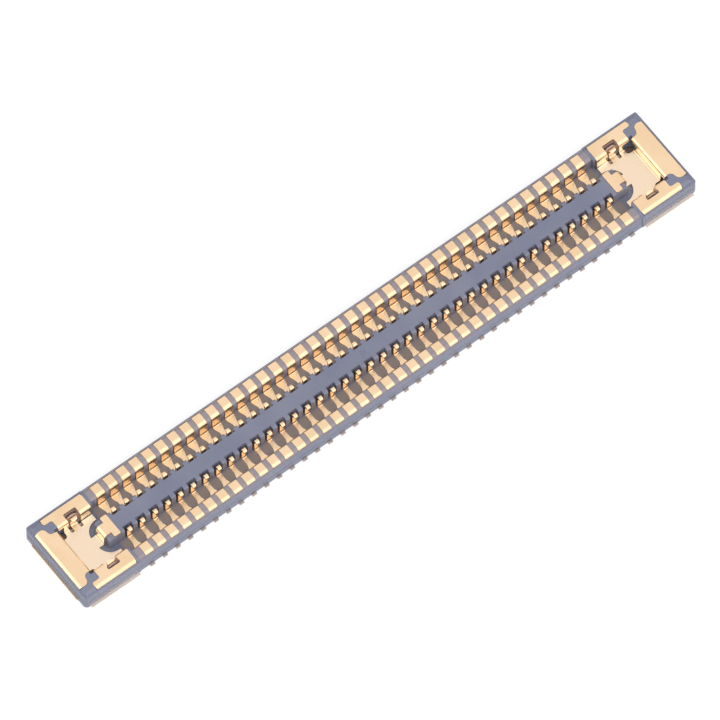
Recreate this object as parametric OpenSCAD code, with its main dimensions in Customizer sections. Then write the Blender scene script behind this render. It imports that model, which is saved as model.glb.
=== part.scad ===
// Board-side receptacle of a low board-to-board connector for flex (FPC) assemblies.
// A moulded housing carries two rows of formed contacts and one formed hold-down at each end.
// Millimetres. X runs along the rows, Y across them, Z up from the solder plane.
// The origin is on the solder plane, in the middle of the footprint.

/* [Contact rows] */
// Number of contact pairs, one contact of each pair in each row
contact_pairs = 39; // [12:1:39]
// Distance between neighbouring contacts of a row
pitch = 0.35; // [0.35:0.01:0.5]

/* [Housing] */
// Width over the two contact walls
housing_w = 2.2; // [2.1:0.02:2.5]
// Thickness of each contact wall
wall_t = 0.365; // [0.345:0.005:0.39]
// Distance from the last contact to the end face
housing_end = 1.82; // [1.8:0.01:2]
// Height of the wall tops above the solder plane
wall_top = 0.475; // [0.46:0.005:0.48]
// Gap under the housing, above the solder plane
standoff = 0.02; // [0.01:0.005:0.03]
// Thickness of the floor between the walls
floor_t = 0.06; // [0.055:0.005:0.065]
// Width of the centre island behind the pockets
island_w = 0.35; // [0.3:0.01:0.38]
// Height of the island above the solder plane
island_top = 0.485; // [0.48:0.005:0.52]
// How far the island runs past the last contact
island_end = 0.53; // [0.5:0.01:0.56]
// How far the teeth between the pockets stand out from the island
tooth_reach = 0.11; // [0.09:0.005:0.13]
// Width of the bevel along the teeth
tooth_bevel = 0.03; // [0.015:0.005:0.035]
// Width of the pocket behind each contact spring
pocket_w = 0.235; // [0.15:0.005:0.25]
// Distance from the last contact to the step where an end block begins
block_start = 0.3; // [0.25:0.01:0.33]
// How far an end block stands proud of the contact walls, on each side
block_proud = 0.015; // [0.01:0.005:0.04]
// How far an end block stands above the contact walls
block_rise = 0.012; // [0.004:0.002:0.016]
// Radius of the four upright corners
corner_r = 0.1; // [0.03:0.01:0.12]
// Height of the shelf that runs round outside the contacts and covers
shelf_top = 0.435; // [0.43:0.001:0.445]
// Width of the bevel round the edge of the shelf
rim_bevel = 0.015; // [0.01:0.005:0.025]
// Height of the parting ledge on the outer walls
ledge_h = 0.2; // [0.15:0.01:0.3]
// How far the wall steps in above the parting ledge
ledge_step = 0.01; // [0.005:0.001:0.015]
// Radius of the gate mark in the middle of the island
gate_r = 0.06; // [0.03:0.01:0.08]
// Depth of the gate mark
gate_deep = 0.012; // [0.006:0.002:0.02]

/* [Contacts] */
// Thickness of the contact strip
contact_t = 0.065; // [0.05:0.005:0.07]
// Width of a contact where it clips over the wall
contact_w = 0.22; // [0.16:0.01:0.24]
// Height of the contact tops above the solder plane
contact_top = 0.485; // [0.475:0.005:0.5]
// Thickness of wall left outside the outer leg
wall_skin = 0.047; // [0.04:0.001:0.06]
// How far the inner leg stands into the groove
leg_proud = 0.025; // [0.01:0.005:0.04]
// Outer radius of the bend at the outer top edge
outer_bend_r = 0.1; // [0.08:0.01:0.13]
// Outer radius of the bend at the inner top edge
inner_bend_r = 0.1; // [0.08:0.01:0.12]
// Inner radius of the bends at the groove floor and the tail
foot_bend_r = 0.03; // [0.02:0.005:0.035]
// Height of the underside of the floor strip above the solder plane
strip_z = 0.02; // [0.015:0.005:0.03]
// Width of the spring where it leaves the floor and rises
spring_w = 0.12; // [0.09:0.005:0.14]
// Length of full-width strip before it narrows
taper_start = 0.04; // [0.01:0.01:0.06]
// Length over which the strip narrows to the spring
taper_l = 0.14; // [0.1:0.01:0.18]
// Gap between the spring and the back of its pocket
spring_gap = 0.05; // [0.02:0.005:0.06]
// Outer radius of the rolled contact nose
nose_r = 0.075; // [0.072:0.001:0.09]
// Height of the middle of the nose above the solder plane
nose_z = 0.4; // [0.35:0.005:0.405]
// Angle through which the nose is rolled
nose_turn = 210; // [180:5:215]
// Width of the free tip of the nose
tip_w = 0.07; // [0.05:0.005:0.085]
// Width of a solder tail
tail_w = 0.115; // [0.08:0.005:0.15]
// How far a tail reaches past the wall
tail_reach = 0.055; // [0.05:0.005:0.15]

/* [Hold-downs] */
// Thickness of the hold-down sheet
sheet_t = 0.06; // [0.05:0.005:0.065]
// Height of its top above the solder plane
cover_top = 0.492; // [0.488:0.002:0.5]
// Distance from the last contact to the near edge of the side covers
cover_start = 0.36; // [0.34:0.01:0.4]
// Length of a side cover
cover_l = 1.11; // [1.08:0.01:1.14]
// Length of the notch at the corner of a side cover
notch_l = 0.22; // [0.18:0.01:0.26]
// Width of the outer strip beside that notch
notch_y = 0.195; // [0.16:0.005:0.2]
// Radius of the rounded corners of the side cover
cover_corner_r = 0.05; // [0.02:0.005:0.06]
// Width of a side cover, from inner face to outer face
side_cover_w = 0.455; // [0.43:0.005:0.46]
// Thickness of housing left outside the side legs
side_skin = 0.045; // [0.035:0.005:0.055]
// Thickness of housing left outside the end leg
end_skin = 0.04; // [0.035:0.005:0.05]
// Width of the top of the end cover, from inner face to outer face
end_cover_w = 0.49; // [0.46:0.01:0.5]
// Length of the end cover along its outer edge
end_cover_l = 1.66; // [1.6:0.02:1.68]
// Length of the end cover along its inner edge
end_inner_l = 1.2; // [1.16:0.02:1.22]
// Width of the long outer part of the end cover
end_strip_w = 0.275; // [0.26:0.005:0.29]
// Radius of its outer corners
end_corner_r = 0.05; // [0.02:0.005:0.06]
// Length of the inner end wall under that edge
end_wall_l = 0.94; // [0.8:0.02:1]
// Outer radius of the bend at the outer top edges
cover_bend_r = 0.12; // [0.1:0.01:0.14]
// Outer radius of the bend at the inner top edges
lip_bend_r = 0.1; // [0.08:0.01:0.12]
// Inner radius of the bends at the floor
sheet_bend_r = 0.035; // [0.025:0.005:0.04]
// Size of the relief left open at each inner corner
relief = 0.18; // [0.16:0.01:0.2]
// Radius of the plate's corner in the relief
relief_r = 0.07; // [0.03:0.01:0.08]
// Reach of the side feet past the end blocks
side_foot_reach = 0.07; // [0.05:0.005:0.15]
// Length of the side feet
side_foot_l = 1.33; // [1.2:0.01:1.36]
// Reach of the end foot past the end face
end_foot_reach = 0.03; // [0.02:0.005:0.1]
// Length of the end foot
end_foot_l = 1.66; // [1.4:0.02:1.68]
// Distance from the near edge of a side cover to the middle of its latch
latch_x = 0.455; // [0.42:0.005:0.47]
// Width of the latch tongue
latch_w = 0.17; // [0.14:0.01:0.19]
// Width of the slot round the latch tongue
latch_slot = 0.08; // [0.06:0.005:0.085]
// How far the slot runs onto the floor plate
latch_run = 0.115; // [0.1:0.005:0.13]
// How far the window over the latch runs onto the side cover
window_run = 0.22; // [0.19:0.005:0.225]
// Radius of the window's corners
window_r = 0.03; // [0.01:0.005:0.04]
// How far the latch tongue stands back from the inner wall
latch_set = 0.05; // [0.04:0.005:0.055]
// Height of the middle of the curled latch end
latch_z = 0.35; // [0.33:0.005:0.36]
// Outer radius of the curled latch end
latch_r = 0.08; // [0.07:0.005:0.085]
// Angle through which the latch end is curled
latch_turn = 125; // [95:5:135]
// Radius of the corners of the latch end
latch_corner_r = 0.055; // [0.03:0.005:0.065]
// Thickness of the housing web behind the latch
web_t = 0.035; // [0.03:0.005:0.04]
// Height of the arched top of that web
web_top = 0.425; // [0.4:0.005:0.43]
// Radius of that arch
web_r = 0.18; // [0.175:0.005:0.25]
// Height of the bottom of the pocket behind the web
web_pocket_z = 0.2; // [0.15:0.01:0.25]
// Width of the tab that climbs the island
tab_w = 0.29; // [0.24:0.01:0.32]
// Radius of the curve in which the floor plate narrows to the tab
sweep_r = 0.34; // [0.3:0.01:0.36]
// Distance from the near edge of the side covers to the middle of that curve
sweep_x = 0.03; // [0.01:0.01:0.05]
// Width of the ear of floor plate beside each wall
ear_w = 0.135; // [0.12:0.005:0.16]
// Width of the hook head on the island
head_w = 0.56; // [0.4:0.01:0.57]
// Length of the hook head
head_l = 0.17; // [0.12:0.01:0.18]
// Radius of the corners of the hook head
head_r = 0.03; // [0.01:0.005:0.05]
// Length of the neck between the head and the end of the island
neck_l = 0.14; // [0.13:0.01:0.16]
// Inner radius of the bend between the neck and the riser
neck_bend_r = 0.06; // [0.04:0.005:0.07]
// How deep the head is let into the island
head_sunk = 0.045; // [0.03:0.005:0.05]

/* [Fits] */
// Clearance between formed metal and the housing
seat = 0.004; // [0.002:0.001:0.006]

/* [Hidden] */
$fn = 48;

// cutting overrun, larger than any clearance and smaller than any wall
over = 0.02;
housing_color = [0.50, 0.53, 0.62];
gold_color = [0.93, 0.78, 0.52];

function two_digits(i) = str(i < 10 ? "0" : "", i);
function pair_name(i) = str("contact_pair_", two_digits(i));

function pair_x(i) = (i - 1 - (contact_pairs - 1) / 2) * pitch;
last_x = pair_x(contact_pairs);

// housing faces
wall_y = housing_w / 2;
groove_y = wall_y - wall_t;
end_x = last_x + housing_end;
block_x = last_x + block_start;
block_y = wall_y + block_proud;
block_top = wall_top + block_rise;
island_x = last_x + island_end;
tooth_y = island_w / 2 + tooth_reach;
floor_z = standoff + floor_t;

// the walls' shoulders lie as far under the metal's bends as the wall tops lie under the metal's top
wall_crest_r = outer_bend_r - (contact_top - wall_top);
block_crest_r = cover_bend_r - (cover_top - block_top);
block_lip_r = lip_bend_r - (cover_top - block_top);

// contact faces, for the row on the +Y side
leg_out_y = wall_y - wall_skin;
leg_in_y = groove_y - leg_proud;
spring_y = island_w / 2 + spring_gap;
tail_y = wall_y + tail_reach;
strip_bend_z = strip_z + contact_t + foot_bend_r;
contact_core_z = contact_top - contact_t;

// hold-down faces, for the right end
cover_out_y = block_y - side_skin;
cover_in_y = cover_out_y - side_cover_w;
cavity_y = cover_in_y + sheet_t + seat;
cover_x0 = last_x + cover_start;
cover_x1 = cover_x0 + cover_l;
end_out_x = end_x - end_skin;
end_in_x = end_out_x - end_cover_w;
cavity_x = end_in_x + sheet_t + seat;
cover_core_z = cover_top - sheet_t;
plate_top = floor_z + sheet_t;
sheet_bend_z = plate_top + sheet_bend_r;
relief_x = end_in_x - relief;
relief_y = end_wall_l / 2;
latch_mid_x = cover_x0 + latch_x;
slot_x = latch_w / 2 + latch_slot;
tongue_y = cover_in_y + latch_set;
tongue_back_y = tongue_y + sheet_t + seat;
window_y = cover_in_y + window_run;
plate_y = cover_in_y - sheet_bend_r;
sweep_cx = cover_x0 + sweep_x;
sweep_cy = plate_y - ear_w - sweep_r;
tab_root_x = sweep_cx + sqrt(pow(sweep_r, 2) - pow(tab_w / 2 - sweep_cy, 2));
riser_x = island_x + seat;
head_x = island_x - neck_l - head_l;
head_z = island_top - head_sunk;

// ---- shared shapes ----

// a sector of a bent strip: inner radius r, thickness t, from angle a0 to a1
module bend_2d(centre, r, t, a0, a1) {
    reach = 2 * (r + t);
    steps = ceil((a1 - a0) / 60);
    translate(centre) intersection() {
        difference() {
            circle(r = r + t);
            if (r > 0) circle(r = r);
        }
        polygon(concat(
            [[0, 0]],
            [for (k = [0:steps]) let (a = a0 + (a1 - a0) * k / steps) reach * [cos(a), sin(a)]]
        ));
    }
}

// a rectangle from one corner to the opposite one
module span_2d(low, high) {
    translate(low) square(high - low);
}

// a strip formed over a wall: two legs and a flat top between two bends
module saddle_2d(inner, outer, top, t, r_in, r_out, z_in, z_out) {
    span_2d([inner + r_in, top - t], [outer - r_out, top]);
    bend_2d([outer - r_out, top - r_out], r_out - t, t, 0, 90);
    bend_2d([inner + r_in, top - r_in], r_in - t, t, 90, 180);
    span_2d([outer - t, z_out], [outer, top - r_out]);
    span_2d([inner, z_in], [inner + t, top - r_in]);
}

// the bottom of a leg, turned outwards along the solder plane
module foot_2d(outer, reach, t, r) {
    bend_2d([outer + r, t + r], r, t, 180, 270);
    span_2d([outer + r, 0], [reach, t]);
}

// a Y-Z profile, given as [y, z], extruded along X from x0 to x1
module along_x(x0, x1) {
    translate([x0, 0, 0]) rotate([90, 0, 90]) linear_extrude(x1 - x0) children();
}

// an X-Z profile, given as [x, z], extruded along Y, centred
module along_y(l) {
    translate([0, l / 2, 0]) rotate([90, 0, 0]) linear_extrude(l) children();
}

// a plain box from one corner to the opposite one
module box(low, high) {
    translate(low) cube(high - low);
}

module both_rows() {
    children();
    mirror([0, 1, 0]) children();
}

module both_ends() {
    children();
    mirror([1, 0, 0]) children();
}

module each_pair() {
    for (i = [1:contact_pairs]) translate([pair_x(i), 0, 0]) children();
}

// a rectangle with round corners, centred on the origin
module round_rect_2d(size, r) {
    square([size.x - 2 * r, size.y], center = true);
    square([size.x, size.y - 2 * r], center = true);
    for (x = [-1, 1], y = [-1, 1])
        translate([x * (size.x / 2 - r), y * (size.y / 2 - r)]) circle(r = r);
}

// what a corner at p loses to a radius r, or gains as a fillet: inside points to the arc's centre
module spandrel_2d(p, r, inside) {
    centre = p + r * inside;
    difference() {
        span_2d([min(p.x - over * inside.x, centre.x), min(p.y - over * inside.y, centre.y)],
            [max(p.x - over * inside.x, centre.x), max(p.y - over * inside.y, centre.y)]);
        translate(centre) circle(r = r);
    }
}

// ---- contacts ----

// the strip's side view: tail, clip over the wall, floor and spring
module contact_2d() {
    saddle_2d(leg_in_y, leg_out_y, contact_top, contact_t, inner_bend_r, outer_bend_r,
        strip_bend_z, contact_t + foot_bend_r);
    foot_2d(leg_out_y, tail_y, contact_t, foot_bend_r);
    bend_2d([leg_in_y - foot_bend_r, strip_bend_z], foot_bend_r, contact_t, 270, 360);
    span_2d([spring_y + contact_t + foot_bend_r, strip_z],
        [leg_in_y - foot_bend_r, strip_z + contact_t]);
    bend_2d([spring_y + contact_t + foot_bend_r, strip_bend_z], foot_bend_r, contact_t, 180, 270);
    span_2d([spring_y, strip_bend_z], [spring_y + contact_t, nose_z]);
    bend_2d([spring_y + nose_r, nose_z], nose_r - contact_t, contact_t, 180 - nose_turn, 180);
}

// the strip's outline from above, grown by a clearance
module contact_plan_2d(grow = 0) {
    taper_y = leg_in_y - foot_bend_r - taper_start;
    w = contact_w / 2 + grow;
    s = spring_w / 2 + grow;
    polygon([[-w, taper_y], [-w, leg_out_y + grow], [w, leg_out_y + grow], [w, taper_y],
        [s, taper_y - taper_l], [s, spring_y - grow], [-s, spring_y - grow],
        [-s, taper_y - taper_l]]);
}

// the spring's outline from above: it narrows over the nose to the free tip
module spring_plan_2d() {
    s = spring_w / 2;
    e = tip_w / 2;
    middle_y = spring_y + nose_r;
    tip_y = middle_y + nose_r + over;
    polygon([[-s, spring_y - over], [s, spring_y - over], [s, middle_y], [e, tip_y], [-e, tip_y],
        [-s, middle_y]]);
}

module contact() {
    split_z = strip_bend_z + nose_r;
    intersection() {
        along_x(-contact_w / 2, contact_w / 2) contact_2d();
        union() {
            linear_extrude(split_z) contact_plan_2d();
            translate([0, 0, split_z]) linear_extrude(contact_top) spring_plan_2d();
            box([-contact_w / 2, leg_in_y - over, split_z],
                [contact_w / 2, leg_out_y + over, contact_top + over]);
            box([-tail_w / 2, leg_out_y - contact_t, 0], [tail_w / 2, tail_y, contact_top]);
        }
    }
}

module contact_pair(i) {
    color(gold_color) translate([pair_x(i), 0, 0]) both_rows() contact();
}

// ---- housing ----

// the outer form: contact section, proud end blocks, parting ledge and bevelled shelf
module housing_body() {
    section_x = block_x + over;
    along_x(-section_x, section_x) {
        wall_outline_2d(wall_y);
        crest_2d(leg_out_y - outer_bend_r, wall_top, wall_crest_r);
    }
    both_ends() block_body();
}

// half-width y at the base, stepped in at the ledge and bevelled at the shelf
module wall_outline_2d(y) {
    upper_y = y - ledge_step;
    polygon([[-y, standoff], [y, standoff], [y, ledge_h], [upper_y, ledge_h + ledge_step],
        [upper_y, shelf_top - rim_bevel], [upper_y - rim_bevel, shelf_top],
        [rim_bevel - upper_y, shelf_top], [-upper_y, shelf_top - rim_bevel],
        [-upper_y, ledge_h + ledge_step], [-y, ledge_h]]);
}

// the raised top above the shelf: its round shoulders follow the bends of the metal beside them
module crest_2d(flat, top, r) {
    span_2d([-flat, standoff], [flat, top]);
    for (s = [-1, 1]) translate([s * flat, top - r]) circle(r = r);
}

module block_body() {
    slope_x = block_x + block_rise;
    intersection() {
        linear_extrude(block_top + over) round_rect_2d([2 * end_x, 2 * block_y], corner_r);
        along_x(block_x, end_x) {
            wall_outline_2d(block_y);
            crest_2d(cover_out_y - cover_bend_r, block_top, block_crest_r);
        }
        difference() {
            along_y(2 * block_y) {
                wall_outline_2d(end_x);
                crest_2d(end_out_x - cover_bend_r, block_top, block_crest_r);
            }
            along_y(2 * block_y + over) polygon([[0, wall_top], [block_x, wall_top],
                [slope_x + over, block_top + over], [0, block_top + over]]);
        }
    }
}

// a groove's section between its walls, with the walls' shoulders left round
module groove_2d(wall, flat, top, r) {
    difference() {
        span_2d([-flat, floor_z], [flat, block_top + over]);
        for (s = [-1, 1]) intersection() {
            union() {
                translate([s * flat, top - r]) circle(r = r);
                span_2d([s < 0 ? -flat - over : wall, floor_z - over],
                    [s < 0 ? -wall : flat + over, top - r]);
            }
            span_2d([s < 0 ? -flat - r : wall, floor_z - over], [s < 0 ? -wall : flat + r, top]);
        }
    }
}

// the groove between the contact walls, and the narrower cavity in each end block
module groove() {
    along_x(-block_x, block_x)
        groove_2d(groove_y, leg_in_y + inner_bend_r, wall_top, wall_crest_r);
    intersection() {
        along_x(-cavity_x - lip_bend_r, cavity_x + lip_bend_r)
            groove_2d(cavity_y, cover_in_y + lip_bend_r, block_top, block_lip_r);
        along_y(housing_w) groove_2d(cavity_x, end_in_x + lip_bend_r, block_top, block_lip_r);
    }
}

// the centre island, with a pocket behind every spring
module island() {
    difference() {
        along_x(-island_x, island_x) polygon([[-tooth_y, standoff], [tooth_y, standoff],
            [tooth_y, island_top - tooth_bevel], [tooth_y - tooth_bevel, island_top],
            [tooth_bevel - tooth_y, island_top], [-tooth_y, island_top - tooth_bevel]]);
        each_pair() both_rows()
            box([-pocket_w / 2, island_w / 2, floor_z], [pocket_w / 2, tooth_y + over, island_top + over]);
        both_ends() {
            box([head_x - seat, -tooth_y - over, head_z], [end_x, tooth_y + over, island_top + over]);
            along_y(2 * tooth_y + over)
                bend_2d([riser_x - neck_bend_r, head_z - neck_bend_r], neck_bend_r - seat, sheet_t, 0, 90);
        }
        translate([0, 0, island_top - gate_deep]) cylinder(r = gate_r, h = gate_deep + over);
    }
}

// the room that a strip formed over a wall takes in that wall, open towards the groove and the top
module saddle_room_2d(inner, outer, top, t, r_in, r_out) {
    open_top = block_top + over;
    span_2d([inner, top - t], [outer - r_out, open_top]);
    span_2d([inner, 0], [inner + t + seat, open_top]);
    span_2d([outer - t - seat, 0], [outer + seat, top - r_out]);
    bend_2d([outer - r_out, top - r_out], r_out - t - seat, t + 2 * seat, 0, 90);
    bend_2d([inner + r_in, top - r_in], r_in - t - seat, t + seat, 90, 180);
}

// room for one contact: its clip, its tail under the skin and its strip in the floor
module contact_room() {
    w = contact_w / 2 + seat;
    along_x(-w, w)
        saddle_room_2d(leg_in_y, leg_out_y, contact_top, contact_t, inner_bend_r, outer_bend_r);
    box([-tail_w / 2 - seat, leg_out_y - over, 0],
        [tail_w / 2 + seat, wall_y + over, contact_t + foot_bend_r + seat]);
    linear_extrude(floor_z + over) intersection() {
        contact_plan_2d(seat);
        span_2d([-w, 0], [w, groove_y]);
    }
}

// room for one hold-down: its covers and legs, and its feet under the skin
module hold_down_room() {
    foot_top = sheet_t + sheet_bend_r + seat;
    both_rows() {
        intersection() {
            along_x(cover_x0 - seat, cover_x1 + seat)
                saddle_room_2d(cover_in_y, cover_out_y, cover_top, sheet_t, lip_bend_r, cover_bend_r);
            linear_extrude(block_top + over) side_cover_plan_2d(seat);
        }
        box([cover_x0 - seat, cover_out_y - sheet_t - seat, 0],
            [cover_x0 + side_foot_l + seat, block_y + over, foot_top]);
    }
    intersection() {
        along_y(end_cover_l + 2 * seat)
            saddle_room_2d(end_in_x, end_out_x, cover_top, sheet_t, lip_bend_r, cover_bend_r);
        linear_extrude(block_top + over) end_cover_plan_2d(seat);
    }
    box([end_out_x - sheet_t - seat, -end_foot_l / 2 - seat, 0],
        [end_x + over, end_foot_l / 2 + seat, foot_top]);
    both_rows() latch_room();
}

// room for a latch tongue, with an arched web behind it and a pocket behind the web
module latch_room() {
    pocket_y = tongue_back_y + web_t;
    open_top = block_top + over;
    box([latch_mid_x - slot_x, cavity_y - over, floor_z], [latch_mid_x + slot_x, tongue_back_y, open_top]);
    box([latch_mid_x - slot_x, pocket_y, web_pocket_z], [latch_mid_x + slot_x, window_y, open_top]);
    translate([latch_mid_x, pocket_y + over, web_top - web_r]) rotate([90, 0, 0])
        linear_extrude(web_t + 2 * over) difference() {
            span_2d([-slot_x, 0], [slot_x, open_top]);
            circle(r = web_r);
        }
}

module housing() {
    color(housing_color) difference() {
        union() {
            difference() {
                housing_body();
                groove();
            }
            island();
        }
        each_pair() both_rows() contact_room();
        both_ends() hold_down_room();
    }
}

// ---- hold-downs, drawn for the right end ----

// outline of a side cover from above, with the notch at the housing corner
module side_cover_plan_2d(grow = 0) {
    notch_x = cover_x1 - notch_l + grow;
    strip_y = cover_out_y - notch_y - grow;
    tip_x = cover_x1 + grow;
    edge_y = cover_out_y + grow;
    r = cover_corner_r + grow;
    difference() {
        union() {
            span_2d([cover_x0 - grow, cover_in_y - grow], [notch_x, edge_y]);
            span_2d([notch_x - grow, strip_y], [tip_x, edge_y]);
            spandrel_2d([notch_x, strip_y], cover_corner_r - grow, [1, -1]);
        }
        spandrel_2d([tip_x, strip_y], r, [-1, 1]);
        spandrel_2d([tip_x, edge_y], r, [-1, -1]);
    }
}

// outline of the end cover from above: its flanks widen in two arcs from the lip to the outer strip
module end_cover_plan_2d(grow = 0) {
    strip_x = end_out_x - end_strip_w - grow;
    edge_x = end_out_x + grow;
    outer = end_cover_l / 2 + grow;
    inner = end_inner_l / 2 + grow;
    flank_r = (end_cover_l - end_inner_l) / 4;
    both_rows() difference() {
        union() {
            span_2d([end_in_x - grow, 0], [edge_x, inner]);
            span_2d([strip_x, 0], [edge_x, outer]);
            spandrel_2d([strip_x, inner], flank_r - grow, [-1, 1]);
        }
        spandrel_2d([strip_x, outer], flank_r + grow, [1, -1]);
        spandrel_2d([edge_x, outer], end_corner_r + grow, [-1, -1]);
    }
}

// the floor plate: it narrows in a curve to the tab and runs out in an ear beside each wall
module plate_2d() {
    end_plate_x = end_in_x - sheet_bend_r;
    tab_x = riser_x + sheet_t + sheet_bend_r;
    both_rows() {
        difference() {
            span_2d([cover_x0, 0], [relief_x, plate_y]);
            span_2d([cover_x0 - over, 0], [sweep_cx, sweep_cy + sweep_r]);
            intersection() {
                translate([sweep_cx, sweep_cy]) circle(r = sweep_r);
                span_2d([cover_x0 - over, tab_w / 2], [sweep_cx + sweep_r, plate_y]);
            }
            span_2d([sweep_cx - over, 0], [tab_root_x, tab_w / 2]);
        }
        span_2d([tab_x, 0], [tab_root_x + over, tab_w / 2]);
        span_2d([relief_x, 0], [end_plate_x, relief_y]);
        spandrel_2d([relief_x, relief_y], relief_r, [1, 1]);
    }
}

// side view across the connector: inner wall, cover, outer leg and the bend at the floor
module side_profile_2d() {
    saddle_2d(cover_in_y, cover_out_y, cover_top, sheet_t, lip_bend_r, cover_bend_r,
        sheet_bend_z, sheet_t + sheet_bend_r);
    bend_2d([cover_in_y - sheet_bend_r, sheet_bend_z], sheet_bend_r, sheet_t, 270, 360);
}

// the same along the connector, at the end wall
module end_profile_2d() {
    saddle_2d(end_in_x, end_out_x, cover_top, sheet_t, lip_bend_r, cover_bend_r,
        sheet_bend_z, sheet_t + sheet_bend_r);
}

module side_cover() {
    difference() {
        intersection() {
            along_x(cover_x0, cover_x1) side_profile_2d();
            union() {
                linear_extrude(cover_top + over) side_cover_plan_2d();
                box([cover_x0, 0, 0], [relief_x, cavity_y, cover_core_z]);
            }
        }
        box([relief_x, 0, 0], [cover_x1 + over, cavity_y, cover_top - lip_bend_r]);
    }
    along_x(cover_x0, cover_x0 + side_foot_l)
        foot_2d(cover_out_y, block_y + side_foot_reach, sheet_t, sheet_bend_r);
}

module end_cover() {
    difference() {
        intersection() {
            along_y(end_cover_l) end_profile_2d();
            linear_extrude(cover_top + over) end_cover_plan_2d();
        }
        both_rows() box([end_in_x - over, relief_y, 0],
            [cavity_x, end_cover_l, cover_top - lip_bend_r]);
    }
    along_y(end_wall_l)
        bend_2d([end_in_x - sheet_bend_r, sheet_bend_z], sheet_bend_r, sheet_t, 270, 360);
    along_y(end_foot_l) foot_2d(end_out_x, end_x + end_foot_reach, sheet_t, sheet_bend_r);
}

// the outline of the slot round a latch tongue, from the floor plate to the side cover
module latch_slot_2d() {
    difference() {
        span_2d([latch_mid_x - slot_x, cover_in_y - latch_run], [latch_mid_x + slot_x, window_y]);
        for (s = [-1, 1]) spandrel_2d([latch_mid_x + s * slot_x, window_y], window_r, [-s, -1]);
    }
}

// the tongue: it leaves the floor, stands back from the wall and curls over the cavity
module latch_tongue() {
    r = latch_r - sheet_t;
    tip_z = latch_z + latch_r + seat;
    corner_z = tip_z - latch_corner_r;
    half = latch_w / 2 - latch_corner_r;
    intersection() {
        along_x(latch_mid_x - latch_w / 2, latch_mid_x + latch_w / 2) {
            span_2d([cover_in_y - latch_run, floor_z], [tongue_y - sheet_bend_r, plate_top]);
            bend_2d([tongue_y - sheet_bend_r, sheet_bend_z], sheet_bend_r, sheet_t, 270, 360);
            span_2d([tongue_y, sheet_bend_z], [tongue_y + sheet_t, latch_z]);
            bend_2d([tongue_y - r, latch_z], r, sheet_t, 0, latch_turn);
        }
        translate([latch_mid_x, groove_y, 0]) rotate([90, 0, 0]) linear_extrude(groove_y) {
            span_2d([-latch_w / 2, 0], [latch_w / 2, corner_z]);
            span_2d([-half, 0], [half, tip_z]);
            for (s = [-1, 1]) translate([s * half, corner_z]) circle(r = latch_corner_r);
        }
    }
}

// the tab: it climbs the end of the island and hooks over its top
module tab() {
    rise_x = riser_x + sheet_t;
    bend_x = riser_x - neck_bend_r;
    bend_z = head_z - neck_bend_r;
    along_y(tab_w) {
        bend_2d([rise_x + sheet_bend_r, sheet_bend_z], sheet_bend_r, sheet_t, 180, 270);
        span_2d([riser_x, sheet_bend_z], [rise_x, bend_z]);
        bend_2d([bend_x, bend_z], neck_bend_r, sheet_t, 0, 90);
        span_2d([head_x + head_l / 2, head_z], [bend_x, head_z + sheet_t]);
    }
    translate([head_x + head_l / 2, 0, head_z]) linear_extrude(sheet_t)
        round_rect_2d([head_l, head_w], head_r);
}

module hold_down() {
    both_rows() {
        difference() {
            side_cover();
            linear_extrude(cover_top + over) latch_slot_2d();
        }
        latch_tongue();
    }
    end_cover();
    translate([0, 0, floor_z]) linear_extrude(sheet_t) difference() {
        plate_2d();
        both_rows() latch_slot_2d();
    }
    tab();
}

module hold_down_right() {
    color(gold_color) hold_down();
}

module hold_down_left() {
    color(gold_color) mirror([1, 0, 0]) hold_down();
}

housing();
hold_down_left();
hold_down_right();
for (i = [1:contact_pairs]) contact_pair(i);
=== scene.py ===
import math

import bmesh
import bpy
from mathutils import Matrix, Vector


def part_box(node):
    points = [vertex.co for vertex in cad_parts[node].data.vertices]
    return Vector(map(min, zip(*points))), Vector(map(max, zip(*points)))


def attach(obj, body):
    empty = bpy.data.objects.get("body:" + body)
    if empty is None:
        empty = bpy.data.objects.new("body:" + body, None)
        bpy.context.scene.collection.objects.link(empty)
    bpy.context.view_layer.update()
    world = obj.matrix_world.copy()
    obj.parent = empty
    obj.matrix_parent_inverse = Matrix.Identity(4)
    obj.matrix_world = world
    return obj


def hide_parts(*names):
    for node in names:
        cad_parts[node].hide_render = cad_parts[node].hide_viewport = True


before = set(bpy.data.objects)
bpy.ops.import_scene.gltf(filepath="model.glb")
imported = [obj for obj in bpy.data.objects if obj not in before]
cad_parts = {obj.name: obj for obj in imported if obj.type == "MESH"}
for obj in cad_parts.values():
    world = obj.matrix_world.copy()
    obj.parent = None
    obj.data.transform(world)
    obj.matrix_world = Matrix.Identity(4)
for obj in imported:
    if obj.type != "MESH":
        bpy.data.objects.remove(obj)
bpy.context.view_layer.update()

mm = 0.001
tiny = 1e-8  # merge distance, far below any size of the part
axisX, axisY, axisZ = Vector((1, 0, 0)), Vector((0, 1, 0)), Vector((0, 0, 1))


def roundCorners(bm, corners, radius, steps=4):
    bmesh.ops.bevel(bm, geom=corners, offset=radius * mm, segments=steps, profile=0.5,
                    affect="VERTICES", material=-1)


def sheetPanel(points, level, rounds=()):
    # a flat blank cut to an outline given in mm, with some of its corners rounded
    bm = bmesh.new()
    corners = [bm.verts.new(Vector((x, y, level)) * mm) for x, y in points]
    bm.faces.new(corners)
    for radius in sorted({r for _, r in rounds}):
        roundCorners(bm, [corners[i] for i, r in rounds if r == radius], radius)
    return bm


def foldPlan(start, moves):
    # lays runs (length) and bends (degrees, radius, steps) out flat, and returns where each
    # move begins, where the fold lines lie and how far each one turns
    place, marks, folds = start, [], []
    for move in moves:
        marks.append(place)
        if len(move) == 1:
            place += move[0]
            continue
        degrees, radius, steps = move
        turn = math.radians(degrees) / steps
        chord = 2 * radius * math.sin(abs(turn) / 2)
        folds.append((place, turn / 2))
        folds += [(place + chord * k, turn) for k in range(1, steps)]
        place += chord * steps
        folds.append((place, turn / 2))
    return marks + [place], folds


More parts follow.
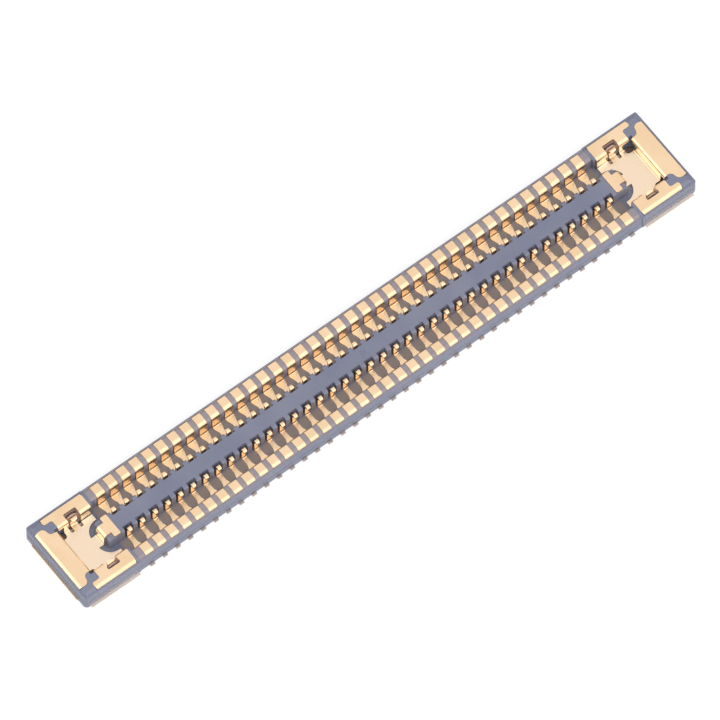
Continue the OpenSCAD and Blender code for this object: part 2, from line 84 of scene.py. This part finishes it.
def pressForm(bm, level, heading, folds):
    # folds the blank line by line from its far end, as a press tool forms a strip
    for place, _ in folds:
        everything = bm.verts[:] + bm.edges[:] + bm.faces[:]
        bmesh.ops.bisect_plane(bm, geom=everything, dist=tiny, plane_co=heading * place * mm,
                               plane_no=heading)
    flat = {v: v.co.dot(heading) for v in bm.verts}
    axis = heading.cross(axisZ)
    for place, turn in reversed(folds):
        beyond = [v for v in bm.verts if flat[v] > place * mm + tiny]
        centre = (heading * place + axisZ * level) * mm
        bmesh.ops.rotate(bm, verts=beyond, cent=centre, matrix=Matrix.Rotation(turn, 3, axis))
    return bm


def joinPanels(panels):
    # welds formed panels where their edges meet
    whole = bmesh.new()
    for bm in panels:
        part = bpy.data.meshes.new("panel")
        bm.to_mesh(part)
        bm.free()
        whole.from_mesh(part)
        bpy.data.meshes.remove(part)
    bmesh.ops.remove_doubles(whole, verts=whole.verts[:], dist=tiny)
    return whole


def meshFrom(bm, name):
    mesh = bpy.data.meshes.new(name)
    bm.to_mesh(mesh)
    bm.free()
    return mesh


def mirroredMesh(bm, name):
    # adds the other half, at -Y, and turns every face the same way
    bmesh.ops.mirror(bm, geom=bm.verts[:] + bm.edges[:] + bm.faces[:], axis="Y", merge_dist=tiny)
    bmesh.ops.remove_doubles(bm, verts=bm.verts[:], dist=tiny)
    bmesh.ops.recalc_face_normals(bm, faces=bm.faces[:])
    return meshFrom(bm, name)


def addObject(name, data):
    thing = bpy.data.objects.new(name, data)
    bpy.context.scene.collection.objects.link(thing)
    return thing


def showPiece(mesh, name, material, replaced):
    piece = addObject(name, mesh)
    mesh.materials.clear()
    mesh.materials.append(material)
    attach(piece, "root")
    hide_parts(replaced)


shearedEdge = {
    "steps": 2,
    "roundFrom": 50,       # an edge is rounded where its faces meet at more degrees than this
    "sharpFrom": 21,       # and shaded sharp from here, just above the widest fold step
}


def thicken(mesh, thickness, edgeRadius):
    # gives a sheet its thickness and its softly sheared edges, and returns the finished mesh
    worker = addObject("sheetWorker", mesh)
    solid = worker.modifiers.new("thickness", "SOLIDIFY")
    solid.thickness = thickness * mm
    solid.offset = 0
    solid.use_even_offset = True
    edge = worker.modifiers.new("edges", "BEVEL")
    edge.width = edgeRadius * mm
    edge.segments = shearedEdge["steps"]
    edge.limit_method = "ANGLE"
    edge.angle_limit = math.radians(shearedEdge["roundFrom"])
    graph = bpy.context.evaluated_depsgraph_get()
    done = bpy.data.meshes.new_from_object(worker.evaluated_get(graph))
    bpy.data.objects.remove(worker)
    done.shade_smooth()
    done.set_sharp_from_angle(angle=math.radians(shearedEdge["sharpFrom"]))
    return done


def newMaterial(name):
    material = bpy.data.materials.new(name)
    material.use_nodes = True
    nodes = material.node_tree.nodes
    return material, nodes, material.node_tree.links, nodes["Principled BSDF"]


def mathNode(nodes, links, operation, first, second):
    # the second value is another node's output or a plain number
    node = nodes.new("ShaderNodeMath")
    node.operation = operation
    links.new(first, node.inputs[0])
    if isinstance(second, float):
        node.inputs[1].default_value = second
    else:
        links.new(second, node.inputs[1])
    return node.outputs["Value"]


def noiseNode(nodes, links, scale, detail, stretch=(1, 1, 1)):
    coord = nodes.new("ShaderNodeTexCoord")
    mapping = nodes.new("ShaderNodeMapping")
    mapping.inputs["Scale"].default_value = stretch
    noise = nodes.new("ShaderNodeTexNoise")
    noise.inputs["Scale"].default_value = scale
    noise.inputs["Detail"].default_value = detail
    links.new(coord.outputs["Object"], mapping.inputs["Vector"])
    links.new(mapping.outputs["Vector"], noise.inputs["Vector"])
    return noise.outputs["Fac"]


def edgeNode(nodes, links, axis, outside, inside):
    # rises from 0 to 1 between two places in mm; x and y count from the middle to both sides
    coord = nodes.new("ShaderNodeTexCoord")
    split = nodes.new("ShaderNodeSeparateXYZ")
    links.new(coord.outputs["Object"], split.inputs["Vector"])
    place = split.outputs[axis]
    if axis != "Z":
        size = nodes.new("ShaderNodeMath")
        size.operation = "ABSOLUTE"
        links.new(place, size.inputs[0])
        place = size.outputs["Value"]
    rise = nodes.new("ShaderNodeMapRange")
    rise.inputs["From Min"].default_value = outside * mm
    rise.inputs["From Max"].default_value = inside * mm
    links.new(place, rise.inputs["Value"])
    return rise.outputs["Result"]


def regionNode(nodes, links, edges):
    # 1 where all the edges have risen
    region = edgeNode(nodes, links, *edges[0])
    for edge in edges[1:]:
        region = mathNode(nodes, links, "MULTIPLY", region, edgeNode(nodes, links, *edge))
    return region


def blendNode(nodes, links, factor, under, color):
    # lays a second colour over the first one where the factor is 1; inputs 6 and 7 are colours
    mix = nodes.new("ShaderNodeMix")
    mix.data_type = "RGBA"
    links.new(factor, mix.inputs[0])
    links.new(under, mix.inputs[6])
    mix.inputs[7].default_value = color
    return mix.outputs[2]


def tintNode(nodes, links, look):
    # two tones that drift softly into each other, and the regions laid over them in turn
    ramp = nodes.new("ShaderNodeValToRGB")
    for element, (place, tone) in zip(ramp.color_ramp.elements, look["cloud"]):
        element.position, element.color = place, tone
    cloud = noiseNode(nodes, links, look["cloudScale"], look["cloudDetail"])
    links.new(cloud, ramp.inputs["Fac"])
    color = ramp.outputs["Color"]
    for over, edges in look["regions"].values():
        color = blendNode(nodes, links, regionNode(nodes, links, edges), color, over)
    return color


def grainNode(nodes, links, shader, look):
    # a fine grain in the surface; its noise is returned, so that the gloss can follow it
    grain = noiseNode(nodes, links, look["grainScale"], look["grainDetail"], look["grainStretch"])
    bump = nodes.new("ShaderNodeBump")
    bump.inputs["Strength"].default_value = look["grainStrength"]
    bump.inputs["Distance"].default_value = look["grainDepth"] * mm
    links.new(grain, bump.inputs["Height"])
    links.new(bump.outputs["Normal"], shader.inputs["Normal"])
    return grain


# regions are a colour and the edges that enclose it: axis, where it ends, where it is full
contactLook = {
    "cloud": ((0.35, (0.9, 0.645, 0.4, 1)), (0.65, (0.95, 0.7, 0.46, 1))),
    "cloudScale": 1500,
    "cloudDetail": 3,
    "regions": {},
    "dull": (0.6, 0.52, 0.48, 1),      # tails and feet, in another tone with a rougher gloss
    "dullEdges": (("Y", 1.085, 1.095),),
    "roughLow": 0.2,
    "roughHigh": 0.32,
    "roughDull": 0.45,
    "grainScale": 9000,
    "grainDetail": 5,
    "grainStretch": (1, 0.25, 1),
    "grainStrength": 0.25,
    "grainDepth": 0.0005,
}

sheetLook = dict(
    contactLook,
    dull=(1, 0.89, 0.79, 1),
    regions={
        "floorPlate": ((0.93, 0.735, 0.55, 1), (("Z", 0.18, 0.16),)),
        # painted highlight: the sheet's inner walls above the floor plate lighter and paler
        # yellow, as if brightly lit
        "innerFacesPaintedHighlight": ((1, 0.9, 0.66, 1),
                       (("X", 7.98, 7.96), ("Y", 0.66, 0.64), ("Z", 0.16, 0.18),
                        ("Z", 0.46, 0.41))),
    },
)


def goldMaterial(name, look):
    material, nodes, links, shader = newMaterial(name)
    shader.inputs["Metallic"].default_value = 1
    color = tintNode(nodes, links, look)
    outside = regionNode(nodes, links, look["dullEdges"])
    color = blendNode(nodes, links, outside, color, look["dull"])
    links.new(color, shader.inputs["Base Color"])
    rough = nodes.new("ShaderNodeMapRange")
    rough.inputs["To Min"].default_value = look["roughLow"]
    rough.inputs["To Max"].default_value = look["roughHigh"]
    links.new(grainNode(nodes, links, shader, look), rough.inputs["Value"])
    worn = nodes.new("ShaderNodeMix")
    links.new(outside, worn.inputs["Factor"])
    links.new(rough.outputs["Result"], worn.inputs["A"])
    worn.inputs["B"].default_value = look["roughDull"]
    links.new(worn.outputs["Result"], shader.inputs["Roughness"])
    return material


gold = goldMaterial("goldPlate", contactLook)
goldSheet = goldMaterial("goldSheet", sheetLook)
print("plating ready")

housingLook = {
    "cloud": ((0.3, (0.215, 0.23, 0.325, 1)), (0.7, (0.26, 0.27, 0.36, 1))),
    "cloudScale": 1200,
    "cloudDetail": 4,
    "regions": {
        # painted light: the polymer in the grooves between contacts warmer and lighter, as warm
        # light bounced from the gold
        "betweenContactsPaintedBounce": ((0.35, 0.295, 0.28, 1),
                            (("X", 6.95, 6.9), ("Y", 0.25, 0.35), ("Y", 0.74, 0.71),
                             ("Z", 0.38, 0.33))),
        # painted reflection: the wall tops between contacts lighter and lilac, as the gold's warm
        # glow on them
        "wallTopsPaintedReflection": ((0.365, 0.315, 0.345, 1),
                     (("X", 6.95, 6.9), ("Y", 0.66, 0.74), ("Y", 1.08, 1.05), ("Z", 0.4, 0.43))),
        # painted light: the polymer in and around the latch windows lighter and warmer, where it
        # would lie in deep shade
        "latchWebsPaintedLight": ((0.6, 0.46, 0.4, 1),
                      (("X", 7.24, 7.26), ("X", 7.7, 7.68), ("Y", 0.55, 0.57), ("Y", 0.88, 0.86))),
        # painted shade: the polymer below the relief cut-outs dark brown
        "underReliefsPaintedShade": ((0.19, 0.125, 0.1, 1),
                         (("X", 7.6, 7.62), ("X", 7.98, 7.96), ("Y", 0.3, 0.32),
                          ("Y", 0.66, 0.64), ("Z", 0.42, 0.37))),
    },
    "rough": 0.36,
    "grainScale": 14000,
    "grainDetail": 6,
    "grainStretch": (1, 1, 1),
    "grainStrength": 0.3,
    "grainDepth": 0.0012,
}


def housingMaterial(look):
    material, nodes, links, shader = newMaterial("mouldedPolymer")
    links.new(tintNode(nodes, links, look), shader.inputs["Base Color"])
    shader.inputs["Roughness"].default_value = look["rough"]
    grainNode(nodes, links, shader, look)
    return material


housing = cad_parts["housing"]
housing.data.materials.clear()
housing.data.materials.append(housingMaterial(housingLook))
print("housing finished")

contact = {
    "thickness": 0.065,
    "edge": 0.016,
    "clipHalf": 0.11,      # half width over the wall
    "springHalf": 0.06,
    "crownHalf": 0.047,    # half width at the top of the nose
    "tipHalf": 0.033,
    "tailHalf": 0.0575,
    "shoulder": 0.02,      # radius of the step from tail to clip
    "tipCorner": 0.0264,
    "outerBend": 0.105,    # outer radii over the wall
    "innerBend": 0.12,
    "footBend": 0.03,      # inner radius at the floor and the tail
    "legOut": 1.053,       # outer face of the outer leg
    "legIn": 0.71,
    "spring": 0.225,       # inner face of the spring
    "tailReach": 1.155,
    "top": 0.485,
    "floor": 0.02,
    "taperStart": 0.04,
    "taper": 0.14,
    "nose": 0.075,
    "noseHeight": 0.4,
    "noseTurn": 210,
    "footSteps": 5,        # folds in each bend
    "topSteps": 6,
    "noseSteps": 12,
}


def contactStrip(p):
    # one contact of the +Y row, blanked flat from its tail to its tip and then formed
    t = p["thickness"]
    foot = (90, p["footBend"] + t / 2, p["footSteps"])
    moves = [
        (p["tailReach"] - p["legOut"] - p["footBend"],),
        foot,
        (p["top"] - p["outerBend"] - t - p["footBend"],),
        (-90, p["outerBend"] - t / 2, p["topSteps"]),
        (p["legOut"] - p["outerBend"] - p["legIn"] - p["innerBend"],),
        (-90, p["innerBend"] - t / 2, p["topSteps"]),
        (p["top"] - p["innerBend"] - p["floor"] - t - p["footBend"],),
        foot,
        (p["legIn"] - p["spring"] - t - 2 * p["footBend"],),
        foot,
        (p["noseHeight"] - p["floor"] - t - p["footBend"],),
        (p["noseTurn"], p["nose"] - t / 2, p["noseSteps"]),
    ]
    marks, folds = foldPlan(-p["tailReach"], moves)
    legStart, floorStart, noseStart, tip = marks[2], marks[8], marks[11], marks[12]
    crown = noseStart + (tip - noseStart) * 90 / p["noseTurn"]
    taperStart = floorStart + p["taperStart"]
    side = [
        (p["tailHalf"], marks[0]), (p["tailHalf"], legStart), (p["clipHalf"], legStart),
        (p["clipHalf"], taperStart), (p["springHalf"], taperStart + p["taper"]),
        (p["springHalf"], noseStart - p["nose"] / 2), (p["crownHalf"], crown), (p["tipHalf"], tip),
    ]
    right = [(x, -along) for x, along in side]
    left = [(-x, y) for x, y in reversed(right)]
    last = len(right + left) - 1
    rounds = [(2, p["shoulder"]), (last - 2, p["shoulder"]),
              (7, p["tipCorner"]), (last - 7, p["tipCorner"])]
    blank = sheetPanel(right + left, t / 2, rounds)
    return mirroredMesh(pressForm(blank, t / 2, -axisY, folds), "contactStrip")


pairMesh = thicken(contactStrip(contact), contact["thickness"], contact["edge"])
pairNames = sorted(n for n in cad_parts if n.startswith("contact_pair_"))
for name in pairNames:
    low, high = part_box(name)
    mesh = pairMesh.copy()
    mesh.transform(Matrix.Translation(((low[0] + high[0]) / 2, 0, 0)))
    showPiece(mesh, name.replace("contact_pair", "contacts"), gold, name)
print("contacts formed:", len(pairNames), "pairs")

sheet = {
    "thickness": 0.06,
    "edge": 0.012,
    "floor": 0.08,
    "top": 0.492,
    "bend": 0.035,         # inner radius at the floor
    "outerBend": 0.12,
    "lipBend": 0.1,
    "footSteps": 5,        # folds in each bend
    "topSteps": 6,
    "latchSteps": 8,
    "start": 7.01,         # near edge of the side covers
    "finish": 8.12,
    "corner": 0.05,        # radius of the side cover's corners
    "notchX": 7.9,
    "notchY": 0.875,
    "legInset": 0.03,      # how much the hidden outer legs are narrower at each side
    "inY": 0.615,
    "outY": 1.07,
    "inX": 7.94,
    "outX": 8.43,
    "reliefX": 7.76,
    "reliefY": 0.47,
    "reliefCorner": 0.07,
    "reliefSteps": 5,
    "innerHalf": 0.6,
    "coverHalf": 0.83,
    "wingX": 8.155,        # where the end cover is widened
    "flank": 0.114,        # radius of its two flank curves
    "sideFoot": 1.185,
    "sideFootEnd": 8.34,
    "endFoot": 8.5,
    "sweep": 0.34,         # curved edge beside the tab
    "sweepX": 7.04,
    "sweepY": 0.105,
    "sweepSteps": 12,
    "tabHalf": 0.145,
    "riser": 7.184,
    "neckBend": 0.06,
    "headZ": 0.44,
    "headStart": 7.04,
    "headEnd": 6.87,
    "headHalf": 0.28,
    "headCorner": 0.03,
    "latchX": 7.465,
    "latchHalf": 0.085,
    "latchSlot": 0.08,
    "latchRun": 0.115,
    "latchZ": 0.35,
    "latchRadius": 0.08,
    "latchTurn": 125,
    "latchCorner": 0.055,
    "tongueY": 0.665,
    "windowY": 0.835,
    "windowCorner": 0.03,
}


def withEdges(p):
    # adds the level of the sheet's middle and the edges where its panels meet
    latchLeft, latchRight = p["latchX"] - p["latchHalf"], p["latchX"] + p["latchHalf"]
    return dict(
        p,
        level=p["floor"] + p["thickness"] / 2,
        sideY=p["inY"] - p["bend"],
        endX=p["inX"] - p["bend"],
        riseX=p["riser"] + p["thickness"] + p["bend"],
        latchLeft=latchLeft,
        latchRight=latchRight,
        slotLeft=latchLeft - p["latchSlot"],
        slotRight=latchRight + p["latchSlot"],
        slotY=p["inY"] - p["latchRun"],
        foot=(90, p["bend"] + p["thickness"] / 2, p["footSteps"]),
    )


def flangePlan(p, inner, outer, footEnd):
    # up a wall, over it, down its outer leg and out along the solder plane
    half = p["thickness"] / 2
    return foldPlan(inner - p["bend"], [
        p["foot"],
        (p["top"] - p["lipBend"] - p["floor"] - p["thickness"] - p["bend"],),
        (-90, p["lipBend"] - half, p["topSteps"]),
        (outer - p["outerBend"] - inner - p["lipBend"],),
        (-90, p["outerBend"] - half, p["topSteps"]),
        (p["top"] - p["outerBend"] - p["thickness"] - p["bend"],),
        p["foot"],
        (footEnd - outer - p["bend"],),
    ])


def floorPlate(p):
    # half of the plate on the floor, from the tab's curve to both walls
    outline = [
        (p["start"], p["sweepY"] + p["sweep"]), (p["start"], p["sideY"]),
        (p["slotLeft"], p["sideY"]), (p["slotLeft"], p["slotY"]), (p["latchLeft"], p["slotY"]),
        (p["latchRight"], p["slotY"]), (p["slotRight"], p["slotY"]), (p["slotRight"], p["sideY"]),
        (p["reliefX"], p["sideY"]), (p["reliefX"], p["reliefY"]), (p["endX"], p["reliefY"]),
        (p["endX"], 0), (p["riseX"], 0), (p["riseX"], p["tabHalf"]),
    ]
    rise = p["tabHalf"] - p["sweepY"]
    run = math.sqrt(p["sweep"] ** 2 - rise ** 2)
    bm = bmesh.new()
    first = bm.verts.new(Vector((p["sweepX"] + run, p["tabHalf"], p["level"])) * mm)
    centre = Vector((p["sweepX"], p["sweepY"], p["level"])) * mm
    bmesh.ops.spin(bm, geom=[first], cent=centre, axis=axisZ,
                   angle=math.pi / 2 - math.atan2(rise, run), steps=p["sweepSteps"])
    arc = sorted(bm.verts[:], key=lambda v: v.co.y)
    corners = [bm.verts.new(Vector((x, y, p["level"])) * mm) for x, y in outline]
    bm.faces.new(arc + corners)
    roundCorners(bm, [corners[9]], p["reliefCorner"], p["reliefSteps"])
    roundCorners(bm, [corners[3], corners[6]], p["windowCorner"])
    return bm


def sideFlange(p):
    # over the side wall, with the latch's window in it
    marks, folds = flangePlan(p, p["inY"], p["outY"], p["sideFoot"])
    lip, top, bend, leg, foot = marks[2:7]
    footEnd = marks[8]
    windowY = top + p["windowY"] - p["inY"] - p["lipBend"]
    notchY = top + p["notchY"] - p["inY"] - p["lipBend"]
    legLeft, legRight = p["start"] + p["legInset"], p["finish"] - p["legInset"]
    blank = sheetPanel([
        (p["start"], p["sideY"]), (p["slotLeft"], p["sideY"]), (p["slotLeft"], windowY),
        (p["slotRight"], windowY), (p["slotRight"], p["sideY"]), (p["reliefX"], p["sideY"]),
        (p["reliefX"], lip), (p["notchX"], lip), (p["notchX"], notchY), (p["finish"], notchY),
        (p["finish"], bend), (legRight, leg), (legRight, foot), (p["sideFootEnd"], foot),
        (p["sideFootEnd"], footEnd), (p["start"], footEnd), (p["start"], foot),
        (legLeft, foot), (legLeft, leg), (p["start"], bend),
    ], p["level"], [(2, p["windowCorner"]), (3, p["windowCorner"]), (8, p["corner"]),
                    (9, p["corner"])])
    return pressForm(blank, p["level"], axisY, folds)


def latchTongue(p):
    # stands back from the wall in its window and curls over at the top
    half = p["thickness"] / 2
    marks, folds = foldPlan(p["slotY"], [
        (p["tongueY"] - p["bend"] - p["slotY"],),
        p["foot"],
        (p["latchZ"] - p["floor"] - p["thickness"] - p["bend"],),
        (p["latchTurn"], p["latchRadius"] - half, p["latchSteps"]),
    ])
    blank = sheetPanel([
        (p["latchLeft"], p["slotY"]), (p["latchRight"], p["slotY"]),
        (p["latchRight"], marks[4]), (p["latchLeft"], marks[4]),
    ], p["level"], [(2, p["latchCorner"]), (3, p["latchCorner"])])
    return pressForm(blank, p["level"], axisY, folds)


def endFlange(p):
    # over the end wall, widened on its top
    marks, folds = flangePlan(p, p["inX"], p["outX"], p["endFoot"])
    lip, top, bend, leg, foot = marks[2:7]
    footEnd = marks[8]
    wingX = top + p["wingX"] - p["inX"] - p["lipBend"]
    legHalf = p["coverHalf"] - p["legInset"]
    blank = sheetPanel([
        (p["endX"], 0), (footEnd, 0), (footEnd, p["coverHalf"]), (foot, p["coverHalf"]),
        (foot, legHalf), (leg, legHalf), (bend, p["coverHalf"]), (wingX, p["coverHalf"]),
        (wingX, p["innerHalf"]), (lip, p["innerHalf"]), (lip, p["reliefY"]),
        (p["endX"], p["reliefY"]),
    ], p["level"], [(7, p["flank"]), (8, p["flank"])])
    return pressForm(blank, p["level"], axisX, folds)


def islandTab(p):
    # up the island's end and over its top, where it widens to the head
    half = p["thickness"] / 2
    marks, folds = foldPlan(-p["riseX"], [
        p["foot"],
        (p["headZ"] - p["neckBend"] - p["floor"] - p["thickness"] - p["bend"],),
        (-90, p["neckBend"] + half, p["topSteps"]),
        (p["riser"] - p["neckBend"] - p["headEnd"],),
    ])
    headEnd = -marks[4]
    headStart = headEnd + p["headStart"] - p["headEnd"]
    blank = sheetPanel([
        (p["riseX"], 0), (p["riseX"], p["tabHalf"]), (headStart, p["tabHalf"]),
        (headStart, p["headHalf"]), (headEnd, p["headHalf"]), (headEnd, 0),
    ], p["level"], [(3, p["headCorner"]), (4, p["headCorner"])])
    return pressForm(blank, p["level"], -axisX, folds)


def holdDownSheet(p):
    # the right hold-down as its middle surface: one half of its panels, then mirrored
    p = withEdges(p)
    panels = [floorPlate(p), sideFlange(p), latchTongue(p), endFlange(p), islandTab(p)]
    return mirroredMesh(joinPanels(panels), "holdDownSheet")


rightMesh = thicken(holdDownSheet(sheet), sheet["thickness"], sheet["edge"])
leftMesh = rightMesh.copy()
leftMesh.transform(Matrix.Scale(-1, 4, axisX))
leftMesh.flip_normals()
showPiece(rightMesh, "holdDownRight", goldSheet, "hold_down_right")
showPiece(leftMesh, "holdDownLeft", goldSheet, "hold_down_left")
print("hold-downs formed")

studio = {
    "floorHalf": 0.4,
    "floorColor": (0.4, 0.4, 0.4, 1),
    "floorRough": 0.9,
    "floorSpecular": 0.1,
    "floorGlow": 0.745,
    "glow": (1, 1, 1, 1),
    "under": ((8.2, 8.45), (0.95, 1.1)),   # the shade below the part, in x and in y
    "world": 0.43,         # soft light on the part
    "background": 1.0,     # what the camera and the metal see
    "lamps": {             # place, size, power, seen in the metal
        "front": ((0.066, -0.185, 0.225), 0.38, 0.24, True),
        "left": ((-0.25, 0.06, 0.155), 0.3, 0.21, True),
        "fill": ((-0.02, -0.24, 0.19), 0.4, 0.5, False),
    },
}


def seenNode(nodes, links):
    # 1 for what the camera and the metal see, 0 for the light that falls on the part
    path = nodes.new("ShaderNodeLightPath")
    return mathNode(nodes, links, "MAXIMUM", path.outputs["Is Camera Ray"],
                    path.outputs["Is Glossy Ray"])


def makeFloor(p):
    bm = bmesh.new()
    bmesh.ops.create_grid(bm, x_segments=1, y_segments=1, size=p["floorHalf"])
    floor = addObject("floor", meshFrom(bm, "floor"))
    material, nodes, links, shader = newMaterial("studioFloor")
    shader.inputs["Base Color"].default_value = p["floorColor"]
    shader.inputs["Roughness"].default_value = p["floorRough"]
    shader.inputs["Specular IOR Level"].default_value = p["floorSpecular"]
    shader.inputs["Emission Color"].default_value = p["glow"]
    sides = [edgeNode(nodes, links, axis, *edges) for axis, edges in zip("XY", p["under"])]
    beyond = mathNode(nodes, links, "MAXIMUM", *sides)
    shown = mathNode(nodes, links, "MULTIPLY", seenNode(nodes, links), beyond)
    strength = mathNode(nodes, links, "MULTIPLY", shown, p["floorGlow"])
    links.new(strength, shader.inputs["Emission Strength"])
    floor.data.materials.append(material)


def makeWorld(p):
    world = bpy.data.worlds.new("studio")
    bpy.context.scene.world = world
    world.use_nodes = True
    nodes, links = world.node_tree.nodes, world.node_tree.links
    strength = nodes.new("ShaderNodeMapRange")
    strength.inputs["To Min"].default_value = p["world"]
    strength.inputs["To Max"].default_value = p["background"]
    links.new(seenNode(nodes, links), strength.inputs["Value"])
    links.new(strength.outputs["Result"], nodes["Background"].inputs["Strength"])
    nodes["Background"].inputs["Color"].default_value = p["glow"]


def makeLamp(name, place, size, power, shines):
    # a square lamp turned to the middle of the part
    lamp = bpy.data.lights.new(name, "AREA")
    lamp.size = size
    lamp.energy = power
    holder = addObject(name, lamp)
    holder.location = place
    holder.visible_glossy = shines
    holder.rotation_euler = Vector(place).to_track_quat("Z", "Y").to_euler()


view = {
    "azimuth": -37.42,     # degrees round from the front
    "elevation": 63.45,    # and up from the board
    "distance": 0.3878,
    "aimX": -0.148,
    "aimY": -0.102,
    "sensor": 36,
    "lens": 881.4,
    "nearest": 0.01,
    "farthest": 10,
}


def makeCamera(p):
    azimuth, elevation = math.radians(p["azimuth"]), math.radians(p["elevation"])
    aim = Vector((p["aimX"], p["aimY"], contact["top"])) * mm
    back = Vector((math.sin(azimuth) * math.cos(elevation),
                   -math.cos(azimuth) * math.cos(elevation), math.sin(elevation)))
    data = bpy.data.cameras.new("camera")
    data.sensor_width = p["sensor"]
    data.lens = p["lens"]
    data.clip_start = p["nearest"]
    data.clip_end = p["farthest"]
    camera = addObject("camera", data)
    camera.location = aim + back * p["distance"]
    camera.rotation_euler = back.to_track_quat("Z", "Y").to_euler()
    bpy.context.scene.camera = camera


makeFloor(studio)
makeWorld(studio)
for name, lamp in studio["lamps"].items():
    makeLamp(name, *lamp)
makeCamera(view)
bpy.context.scene.view_settings.view_transform = "Standard"
print("studio ready")
